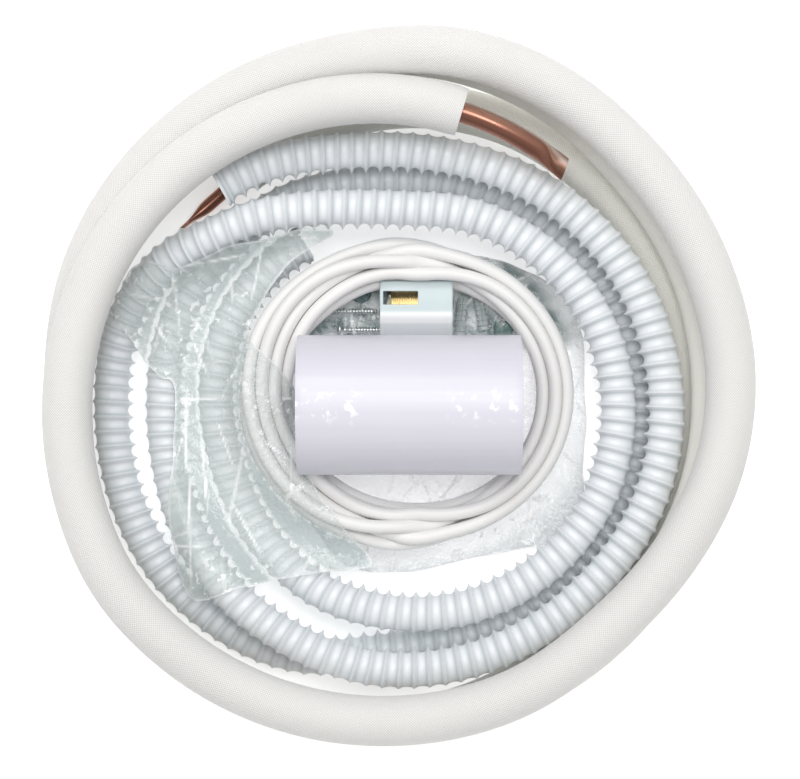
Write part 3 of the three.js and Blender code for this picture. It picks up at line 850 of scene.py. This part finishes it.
# %% Brass fitting
def hexagon(angle, flats):
    sixth = np.mod(angle, np.pi / 3) - np.pi / 6
    return flats / 2 / np.cos(sixth)


def brass_finish():
    metal = Finish("turned_brass", metallic=1.0)
    rings = metal.noise(300, 2)
    stain = metal.noise(90, 3)
    body = metal.mix(stain, (0.88, 0.78, 0.54), (0.55, 0.46, 0.28))
    # Painted shade: the hexagonal ends and the bore darken almost to black.
    colour = metal.mix(metal.stored("dull_end"), body, (0.09, 0.10, 0.10))
    return metal.set(
        base_color=colour, roughness=0.22 + rings * 0.2, normal=metal.bump(rings, 0.00003, 0.5)
    )


nut_middle, nut_size = middle_of("flare_nut")
flats = nut_size.z / MM
half = nut_size.x / 2 / MM
NUT_FACETS = 48
BAND, BAND_RADIUS, RIDGE = 6, 7.0, 0.25
angle = evenly(NUT_FACETS)
left_end = [-half, -half + 0.9, -BAND - 0.2, -BAND - 0.1]
places = np.concatenate([left_end, np.linspace(-BAND, BAND, 49), [-x for x in left_end[::-1]]])
radii = []
for spot in places:
    if abs(spot) <= BAND:
        radii.append(np.full(NUT_FACETS, BAND_RADIUS + RIDGE * math.cos(spot / 0.5 * math.pi)))
    else:
        chamfer = flats / 2 + 0.15 + 1.2 * min(1, (half - abs(spot)) / 0.9)
        limit = chamfer if abs(spot) > BAND + 0.15 else BAND_RADIUS - 0.1
        radii.append(np.minimum(hexagon(angle, flats), limit))
around_x = nut_middle, (1, 0, 0), (0, 0, 1), angle + np.pi / 6
bore = [(x, 4.9 if i % 2 else 4.5) for i, x in enumerate(np.linspace(half, -half, 25))]
rows = np.vstack([turned_rows(places, radii, *around_x), turned_rows(*zip(*bore), *around_x)])
# Painted shade on the hexagonal ends and in the bore.
dull_end = np.concatenate([np.abs(places) > BAND + 0.05, np.ones(len(bore))])[:, None]
nut = shell("brass_nut", rows, stored={"dull_end": dull_end * 0.9}, sharp=25)
place_on_root(nut, brass_finish(), "brass", "flare_nut")

# %% Screws
zinc = cloudy(
    "zinc_plate", (120, 3), (0.86, 0.87, 0.87), (0.50, 0.52, 0.53), (0.00003, 0.4), 0.2,
    roughness=0.24, metallic=1.0,
)
SCREW_LONG, TIP, CORE = 30, 5, 1.25
THREAD_HIGH, THREAD_PITCH = 0.55, 1.35
SCREW_HEAD = [
    (0.9, 0.1), (0.9, 1.2), (0.25, 1.9), (0, 3.2), (0.35, 3.7), (0.6, 3.7), (2.4, 1.8), (3.4, 1.8),
]


def threaded_screw(name, node):
    """A countersunk screw with its head at the left, lying along x."""
    middle, size = middle_of(node)
    start = middle - Vector((size.x / 2, 0, 0))
    angle = evenly(24)
    head_places, head_radii = zip(*SCREW_HEAD)
    body = np.arange(4, SCREW_LONG - 0.2, 0.17)
    taper = np.clip((SCREW_LONG - body) / TIP, 0.02, 1)[:, None]
    phase = body[:, None] / THREAD_PITCH - angle[None, :] / (2 * np.pi)
    ridge = np.clip(np.cos(phase * 2 * np.pi), 0, 1) ** 3 * THREAD_HIGH
    head = np.repeat(np.array(head_radii)[:, None], len(angle), axis=1)
    radii = np.vstack([head, CORE * taper + ridge * np.clip(taper, 0.1, 1)])
    rows = turned_rows([*head_places, *body], radii, start, (1, 0, 0), (0, 1, 0), angle)
    slot = np.abs(np.sin(2 * angle)) < 0.55
    rows[1:3, slot, 0] += 0.9 * MM
    return place_on_root(shell(name, rows, sharp=45), zinc, "zinc_steel", node)


for number in "12":
    threaded_screw("thread_screw_" + number, "screw_" + number)

# %% Wall plugs
nylon = cloudy(
    "clear_nylon", (200, 2), (0.88, 0.92, 0.92), (0.74, 0.80, 0.80), (0.00005, 0.4),
    roughness=0.22, transmission_weight=0.55, ior=1.5,
)
PLUG_HALF, PLUG_BORE = 9, 1.4
BARBS, BARB_PITCH = 6, 2.4
PLUG_TURNS = {"1": 85, "2": 100}


def barbed_plug(name, node, degrees):
    """A hollow plug with barbs and a split through most of it, turned away from x."""
    middle, _ = middle_of(node)
    turn = math.radians(degrees)
    around = middle, (math.cos(turn), math.sin(turn), 0), (0, 0, 1), evenly(32)
    profile = [(-PLUG_HALF, 1.6), (-PLUG_HALF, 2.95), (-PLUG_HALF + 1, 3.0)]
    for i in range(BARBS):
        at = -PLUG_HALF + 2 + i * BARB_PITCH
        profile += [(at, 2.3), (at + 0.2, 2.9), (at + 2.2, 2.35)]
    profile += [(PLUG_HALF - 1.2, 2.4), (PLUG_HALF, 2.0), (PLUG_HALF, 1.5)]
    places, base = np.array(profile).T
    split = 0.28 * (np.abs(np.sin(around[3])) < 0.17)
    grip = np.clip((places + PLUG_HALF - 1.5) / 2, 0, 1)
    outer = turned_rows(places, base[:, None] * (1 - split * grip[:, None]), *around)
    inner = turned_rows([PLUG_HALF - 0.2, 0, 0.2 - PLUG_HALF], [PLUG_BORE] * 3, *around)
    return place_on_root(
        shell(name, np.vstack([outer, inner]), sharp=30), nylon, "clear_plastic", node
    )


for number, degrees in PLUG_TURNS.items():
    barbed_plug("barbed_plug_" + number, "wall_plug_" + number, degrees)


# %% Rubber cap
rubber = cloudy(
    "dark_rubber", (150, 3), (0.035, 0.085, 0.095), (0.10, 0.19, 0.20), (0.0001, 0.5), 0.2,
    roughness=0.25, specular_ior_level=0.6, coat_weight=0.4, coat_roughness=0.1,
)
cap_middle, cap_size = middle_of("rubber_cap")
cap_low = cap_middle - Vector((0, 0, cap_size.z / 2))
dome = [(0, 0.1), (0, 4.2), (0.2, 4.8), (1.4, 4.95), (1.7, 4.3), (2.4, 4.2)]
dome += [(2.4 + 4.4 * math.sin(t), 0.05 + 4.1 * math.cos(t)) for t in np.linspace(0.1, 1.56, 9)]
rows = turned_rows(*zip(*dome), cap_low, (0, 0, 1), (1, 0, 0), evenly(32))
place_on_root(shell("seal_cap", rows, sharp=50), rubber, "dark_rubber", "rubber_cap")

# %% Sealing putty
putty_finish = cloudy(
    "sealing_putty", (180, 5), (0.05, 0.11, 0.10), (0.14, 0.24, 0.21), (0.0004, 0.6), 0.25,
    roughness=0.45, specular_ior_level=0.4,
)
putty_middle, putty_size = middle_of("sealing_putty")
lump = bmesh.new()
bmesh.ops.create_icosphere(lump, subdivisions=5, radius=1)
for corner in lump.verts:
    way = corner.co.normalized()
    square = way / max(abs(way.x), abs(way.y), abs(way.z))
    body = way.lerp(square, 0.55)
    dent = 0.90 + 0.10 * noise.noise(way * 2.1) + 0.04 * noise.noise(way * 6.3)
    corner.co = Vector([body[i] * dent * putty_size[i] / 2 for i in range(3)]) + putty_middle
putty_mesh = bpy.data.meshes.new("putty_lump")
lump.to_mesh(putty_mesh)
lump.free()
putty_mesh.shade_smooth()
place_on_root(linked("putty_lump", putty_mesh), putty_finish, "putty", "sealing_putty")

# %% [markdown]
# ## The folded card
# The header card is one strip of thin board, folded once over the bag's mouth. Its back half lies on
# the nut and its front half hangs down. It is drawn as one line seen from the side, given a width,
# and thickened. The window is simply faces left out.


# %% Card
def card_finish():
    board = Finish("pale_card", specular_ior_level=0.45)
    cloud = board.noise(60, 3)
    fibre = board.noise(1500, 3)
    share = (cloud * 0.5 + fibre * 0.15).clamped()
    shade = board.mix(share, (0.66, 0.75, 0.76), (0.57, 0.66, 0.67))
    # Painted light: the card whitens in a highlight band along its folded edge, and its front half is
    # painted lighter.
    colour = board.mix(board.stored("fold"), shade, (0.98, 0.985, 0.985))
    return board.set(base_color=colour, roughness=0.5, normal=board.bump(fibre, 0.00003, 0.5))


front_low, front_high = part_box("hardware_card_front")
back_low, back_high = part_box("hardware_card_back")
BOARD = 0.55 * MM
SAG = 0.5 * MM
line = []
for t in np.linspace(0, 1, 12)[:-1]:
    y = front_low.y + t * (front_high.y - front_low.y)
    z = front_low.z + t * (back_low.z - front_low.z) + SAG * math.sin(t * math.pi)
    line.append((y, z))
for t in np.linspace(0, 1, 24):
    y = back_low.y + t * (back_high.y - back_low.y)
    line.append((y, back_low.z + 0.1 * MM + SAG * math.sin(t * 3.1) ** 2))
across = np.linspace(back_low.x, back_high.x, 45)
window_x = (back_low.x + 1.5 * MM, back_low.x + 17.5 * MM)
window_y = (back_low.y + 5 * MM, back_low.y + 11 * MM)
board = bmesh.new()
corners = [[board.verts.new((x, y, z)) for x in across] for y, z in line]
for i in range(len(line) - 1):
    for k in range(len(across) - 1):
        mid_y = (line[i][0] + line[i + 1][0]) / 2
        mid_x = (across[k] + across[k + 1]) / 2
        open_x = window_x[0] < mid_x < window_x[1]
        if not (open_x and window_y[0] < mid_y < window_y[1]):
            near, far = corners[i], corners[i + 1]
            board.faces.new((near[k], near[k + 1], far[k + 1], far[k]))
card_mesh = bpy.data.meshes.new("header_card")
board.to_mesh(card_mesh)
board.free()
# Painted light: a highlight band along the folded edge and a lighter front half.
behind = np.array([corner.co.y for corner in card_mesh.vertices]) - back_low.y
near = 1 - np.minimum(np.abs(behind + 1.2 * MM) / (3.4 * MM), 1)
store(card_mesh, "fold", np.maximum(np.minimum(1.9 * near, 1), 0.45 * (behind < 0)))
card_mesh.shade_smooth()
card = linked("header_card", card_mesh)
thick = card.modifiers.new("board", "SOLIDIFY")
thick.thickness = BOARD
thick.offset = 1
place_on_root(card, card_finish(), "card", "hardware_card_front", "hardware_card_back")

# %% [markdown]
# ## The clear bag
# Thin film lies on whatever is under it, spans the gaps between like a drumhead, and keeps every
# sharp crease it ever got. So the film starts as the heights of the hoses and the cable, is relaxed
# like a stretched skin that may not sink below them, and then gets straight random creases and the
# folds that the photo shows. Creased film scatters light, so creases are whiter and less clear; their
# white also stands in for glints as a painted highlight, and white specks are painted glints. Where
# the film spans the gaps between the hoses it is darkened with painted shade.

# %% Heights of what the film lies on
GRID = 1.0 * MM
LIFT_OFF = 0.35 * MM


class HeightMap:
    """Heights over a rectangle of the floor, on a fine grid."""

    def __init__(self, low, high):
        self.low = np.array(low)
        self.shape = tuple(((np.array(high) - self.low) / GRID).astype(int) + 1)
        self.z = np.zeros(self.shape)
        self.x, self.y = np.indices(self.shape) * GRID + self.low[:, None, None]

    def add_tube(self, points, radius):
        reach = int(radius / GRID) + 2
        for point in points:
            i, k = ((point[:2] - self.low) / GRID).astype(int)
            si = slice(max(i - reach, 0), max(i + reach + 1, 0))
            sk = slice(max(k - reach, 0), max(k + reach + 1, 0))
            away = (self.x[si, sk] - point[0]) ** 2 + (self.y[si, sk] - point[1]) ** 2
            cap = point[2] + np.sqrt(np.clip(radius**2 - away, 0, None))
            under = self.z[si, sk]
            self.z[si, sk] = np.where(away < radius**2, np.maximum(under, cap), under)

    def stretched(self, clear, rounds):
        """A skin over the heights that is as flat as it can be without touching them."""
        skin = np.maximum(self.z, self.z.mean()) + clear
        for _ in range(rounds):
            flat = skin.copy()
            beside = skin[:-2, 1:-1] + skin[2:, 1:-1] + skin[1:-1, :-2] + skin[1:-1, 2:]
            flat[1:-1, 1:-1] = beside / 4
            flat[0], flat[-1], flat[:, 0], flat[:, -1] = flat[1], flat[-2], flat[:, 1], flat[:, -2]
            skin = np.maximum(flat, self.z + clear)
        return skin

    def turned(self, spot, way):
        """Each point's place along a direction from a spot, and across it."""
        east, north = self.x - spot[0], self.y - spot[1]
        return east * way[0] + north * way[1], north * way[0] - east * way[1]


def creases(heights, count, seed, longest=45):
    """Straight random creases: their heights in metres, and how strong each point's crease is."""
    rng = np.random.default_rng(seed)
    low, high = heights.low, heights.low + np.array(heights.shape) * GRID
    lift, mark = np.zeros(heights.shape), np.zeros(heights.shape)
    for _ in range(count):
        middle = rng.uniform(low, high)
        turn = rng.uniform(0, np.pi)
        length = rng.uniform(12, longest) * MM
        wide = rng.uniform(0.7, 2.6) * MM
        tall = rng.normal(0.2, 0.6) * MM
        along, across = heights.turned(middle, (math.cos(turn), math.sin(turn)))
        fade = np.clip(1 - (along / (length / 2)) ** 2, 0, 1)
        lift += tall * np.exp(-np.abs(across) / wide) * fade
        line = np.exp(-((across / (rng.uniform(0.4, 0.9) * MM)) ** 2))
        mark = np.maximum(mark, line * fade * rng.uniform(0.05, 1) ** 1.5)
    return lift, mark


FOLD_HEIGHT = 0.035


def fold_lines(heights, mark, places, wide=0.5):
    """Adds creases that the photo shows, each between two places given in its pixels."""
    for ends in places:
        start, end = from_photo(ends, FOLD_HEIGHT)
        length = math.dist(start, end)
        along, across = heights.turned(start, (end - start) / length)
        fade = np.clip(1 - np.abs(2 * along / length - 1) ** 4, 0, 1)
        mark = np.maximum(mark, np.exp(-((across / (wide * MM)) ** 2)) * fade)
    return mark


def inside(outline, x, y):
    """Which points of a grid lie inside a closed outline."""
    found = np.zeros(x.shape, bool)
    for (x1, y1), (x2, y2) in zip(outline, np.roll(outline, -1, axis=0)):
        crossing = (y1 > y) != (y2 > y)
        at = (x2 - x1) * (y - y1) / (y2 - y1 + 1e-12) + x1
        found ^= crossing & (x < at)
    return found


def nearest_on(outline, points):
    """The nearest place on a closed outline for each point, and how far it is."""
    best = np.full(len(points), 1e9)
    place = points.copy()
    for start, end in zip(outline, np.roll(outline, -1, axis=0)):
        way = end - start
        t = np.clip(((points - start) @ way) / (way @ way + 1e-15), 0, 1)
        near = start + t[:, None] * way
        away = np.linalg.norm(points - near, axis=1)
        closer = away < best
        best[closer], place[closer] = away[closer], near[closer]
    return place, best


def rounded(corners, steps=8):
    """A closed outline through the corners, smoothed, with the small waves of a cut film edge."""
    count = len(corners)
    wrapped = np.vstack([corners[-3:], corners, corners[:3]])
    known = np.arange(-3, count + 3, dtype=float)
    wanted = np.arange(count * steps) / steps
    line = np.stack([through(known, wrapped[:, k], wanted) for k in range(2)], axis=1)
    waves = [noise.noise(Vector((p[0] * 90, p[1] * 90, 0.3))) * 0.8 * MM for p in line]
    return line + np.array(waves)[:, None]


def from_photo(places, height):
    """Places given in the photo's pixels, as metres on a plane at a height."""
    scale = MM_PER_PIXEL * (1 - height / CAMERA_HEIGHT) * MM
    right, down = (np.array(places) - (PHOTO_WIDE / 2, PHOTO_HIGH / 2)).T * scale
    return np.stack([camera.location.x + right, camera.location.y - down], axis=1)


def film_piece(name, heights, z, mark, hollow, outline):
    """The film inside an outline, as one mesh with its creases and the hollows under it marked."""
    keep = inside(outline, heights.x, heights.y)
    index = -np.ones(heights.shape, int)
    cells = keep[:-1, :-1] | keep[1:, :-1] | keep[1:, 1:] | keep[:-1, 1:]
    used = np.zeros(heights.shape, bool)
    rows, columns = cells.shape
    for a, b in ((0, 0), (1, 0), (1, 1), (0, 1)):
        used[a : a + rows, b : b + columns] |= cells
    index[used] = np.arange(used.sum())
    points = np.stack([heights.x[used], heights.y[used], z[used]], axis=1)
    rim, reach = nearest_on(outline, points[:, :2])
    stray = ~keep[used]
    points[stray, :2] = rim[stray]
    mark = mark.copy()
    mark[used] = np.maximum(mark[used], 0.7 * np.exp(-((reach / (0.8 * MM)) ** 2)))
    i, k = np.nonzero(cells)
    quads = np.stack([index[i, k], index[i + 1, k], index[i + 1, k + 1], index[i, k + 1]], axis=1)
    mesh = bpy.data.meshes.new(name)
    mesh.from_pydata(points.tolist(), [], quads.tolist())
    store(mesh, "crease", mark[used])
    store(mesh, "hollow", hollow[used])
    mesh.shade_smooth()
    area = sum(face.area for face in mesh.polygons)
    print(name, round(area * 1e4, 1), "square cm")
    return linked(name, mesh), area


# %% Film finish


def film_finish(name, tint, deep, clear, shine=0.9):
    """Clear film. Deep is its colour over a hollow, and clear the least of its opacity."""
    film = Finish(name, specular_ior_level=shine, ior=1.5)
    crease, hollow = film.stored("crease"), film.stored("hollow")
    cloud = film.noise(55, 3)
    wrinkle = film.noise(130, 4, roughness=0.6)
    painted_glints = film.ramp(film.noise(230, 4), (0.59, 0), (0.64, 1))
    # Painted shade: where the stored hollow value is high the film takes the deep colour and grows
    # more opaque. Creases whiten, partly as real whitening of creased film and partly as a painted
    # highlight, and white specks are painted glints.
    ground = film.mix(hollow, tint, deep)
    painted_glints = painted_glints * film.ramp(film.noise(38, 2), (0.48, 0), (0.58, 1))
    white = (crease * 1.1 + painted_glints * 0.7).clamped()
    colour = film.mix(white, ground, (0.98, 0.985, 0.985))
    alpha = (clear + cloud * 0.2 + hollow * 0.45 + crease * 0.6 + painted_glints * 0.4).clamped()
    normal = film.bump(wrinkle, 0.002, 0.9)
    return film.set(base_color=colour, alpha=alpha, roughness=0.1 + cloud * 0.12, normal=normal)


# %% The flap over the hoses at the left
centre = np.array(COIL_CENTRE.xy)
flap_map = HeightMap(centre + (-0.140, -0.110), centre + (-0.010, 0.085))
flap_map.add_tube(hose_points[::3], HOSE_RADIUS * MM)
flap_map.add_tube(cable_fine[::2], CABLE / 2 * MM)
flap_z = flap_map.stretched(0.5 * MM, 220)
lift, mark = creases(flap_map, 90, 3)
flap_z = np.maximum(flap_z + lift * 0.8, flap_map.z + LIFT_OFF)
FLAP = [
    (128, 270), (148, 262), (172, 268), (205, 258), (232, 246), (262, 240), (290, 232), (322, 228),
    (334, 234), (312, 247), (290, 262), (272, 284), (258, 308), (248, 332), (262, 352), (292, 385),
    (297, 430), (312, 480), (345, 528), (372, 566), (330, 572), (296, 577), (262, 583), (232, 590),
    (206, 600), (188, 600), (178, 575), (170, 530), (167, 495), (172, 440), (171, 385), (158, 378),
    (147, 366), (133, 345), (112, 314),
]
GLINTS = [
    [(262, 243), (249, 302)], [(149, 316), (166, 347)], [(189, 338), (206, 377)],
    [(184, 384), (183, 474)], [(178, 399), (216, 399)], [(187, 470), (190, 592)],
    [(205, 262), (240, 255)], [(168, 268), (206, 262)], [(198, 430), (206, 520)],
    [(228, 500), (262, 560)], [(214, 420), (232, 470)], [(290, 462), (262, 440)],
]
SHADED_EDGE = [[(178, 300), (181, 620)]]
mark = fold_lines(flap_map, mark * 0.8, GLINTS)
# Painted shade: the film darkens where it spans the gaps between the hoses, and along the shaded band
# at the flap's edge.
hollow = np.clip((flap_z - flap_map.z - 5 * MM) / (16 * MM), 0, 1)
hollow = np.maximum(hollow, fold_lines(flap_map, mark * 0, SHADED_EDGE, 4.5) * 0.55)
outline = rounded(from_photo(FLAP, 0.03))
flap, flap_area = film_piece("bag_flap", flap_map, flap_z, mark, hollow, outline)
flap_film = film_finish("bag_film", (0.74, 0.81, 0.79), (0.40, 0.47, 0.47), 0.20)
place_on_root(flap, flap_film, "clear_film")

# %% The film under the roll
floor_map = HeightMap(centre + (-0.062, -0.095), centre + (0.090, 0.060))
lift, mark = creases(floor_map, 110, 11, longest=35)
east, north = (floor_map.x - centre[0]) / MM, (floor_map.y - centre[1]) / MM
reach = np.hypot(east - CABLE_CENTRE[0], (north - CABLE_CENTRE[1]) / CABLE_OVAL)
outside = np.clip((reach - 78) / 12, 0, 1)
base_z = 0.45 * MM + np.clip(lift * 0.15, -0.3 * MM, 0.3 * MM)
base_z += outside * (3.5 * MM + np.clip(lift * 2.2, -2.5 * MM, 6 * MM))
UNDER = [
    (282, 300), (320, 262), (400, 245), (470, 252), (545, 280), (578, 322), (586, 400), (584, 452),
    (576, 530), (520, 548), (462, 560), (404, 572), (340, 560), (285, 470), (276, 380),
]
spots = zip(floor_map.x.flat, floor_map.y.flat)
patchy = [noise.noise(Vector((x * 120, y * 120, 5))) for x, y in spots]
patchy = np.reshape(patchy, floor_map.shape)
# The film darkens towards the north of the ring, where the fittings lie, and outside the ring, where
# it rises over the cable.
darker_north_and_outside = np.clip((north - 16) / 6, 0, 1) * (1 - outside) * np.clip(0.85 + patchy * 0.9, 0.2, 1)
darker_north_and_outside = np.maximum(darker_north_and_outside, outside * 0.45)
outline = rounded(from_photo(UNDER, 0.002))
under, under_area = film_piece("bag_under", floor_map, base_z, mark, darker_north_and_outside, outline)
under_film = film_finish("bag_film_under", (0.95, 0.955, 0.98), (0.12, 0.19, 0.19), 0.36)
place_on_root(under, under_film, "clear_film", "accessory_bag")

# %% [markdown]
# The fittings have a small bag of their own, which the card closes. Its film lies over them on both
# sides of the card, crumpled and almost clear, so it shows mostly as white glints.

# %% The small bag beside the card
def pocket(name, nodes, corners, seed):
    """One side of the small bag, lying over the nodes, with its corners in the photo's pixels."""
    outline = from_photo(corners, 0.008)
    heights = HeightMap(outline.min(axis=0) - 2 * MM, outline.max(axis=0) + 2 * MM)
    for node in nodes:
        low, high = (np.array(corner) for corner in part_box(node))
        middle, half = (low + high) / 2, (high - low) / 2
        radius = half.min()
        reach = np.clip(half - radius, 0, None) * [1, 1, 0]
        steps = np.linspace(-1, 1, 30)[:, None]
        heights.add_tube(middle + steps * reach, radius)
    z = heights.stretched(0.4 * MM, 60)
    lift, mark = creases(heights, 46, seed, longest=22)
    z = np.maximum(z + lift, heights.z + LIFT_OFF)
    piece, area = film_piece(name, heights, z, mark, np.zeros(heights.shape), rounded(outline))
    place_on_root(piece, small_film, "clear_film")


small_film = film_finish("bag_film_small", (0.34, 0.42, 0.42), (0.2, 0.26, 0.26), 0.0, 0.5)
pocket(
    "bag_small_left", ["screw_1", "screw_2", "rubber_cap"],
    [(306, 336), (316, 316), (330, 299), (350, 286), (378, 279), (379, 310), (378, 336), (340, 337)],
    seed=5,
)
pocket(
    "bag_small_right", ["wall_plug_1", "wall_plug_2", "sealing_putty"],
    [(455, 336), (454, 300), (456, 279), (480, 286), (500, 298), (515, 312), (526, 330), (500, 337)],
    seed=9,
)

# %% [markdown]
# ## Floor
# The photo has a plain white ground, so the floor is white and faintly lit by itself, which keeps the
# shadows as weak as they are there.

# %% Floor
floor_finish = Finish("white_floor", roughness=0.8, specular_ior_level=0.1)
WHITE = (1.0, 1.0, 1.0)
floor_finish.set(base_color=(0.93, 0.93, 0.93), emission_color=WHITE, emission_strength=0.4)
FLOOR_HALF, FLOOR_AT = 3, -0.0003
around = ((-1, -1), (1, -1), (1, 1), (-1, 1))
corners = [(x * FLOOR_HALF, y * FLOOR_HALF, FLOOR_AT) for x, y in around]
floor_mesh = bpy.data.meshes.new("floor")
floor_mesh.from_pydata(corners, [], [(0, 1, 2, 3)])
floor_mesh.materials.append(floor_finish.material)
floor = linked("floor", floor_mesh)
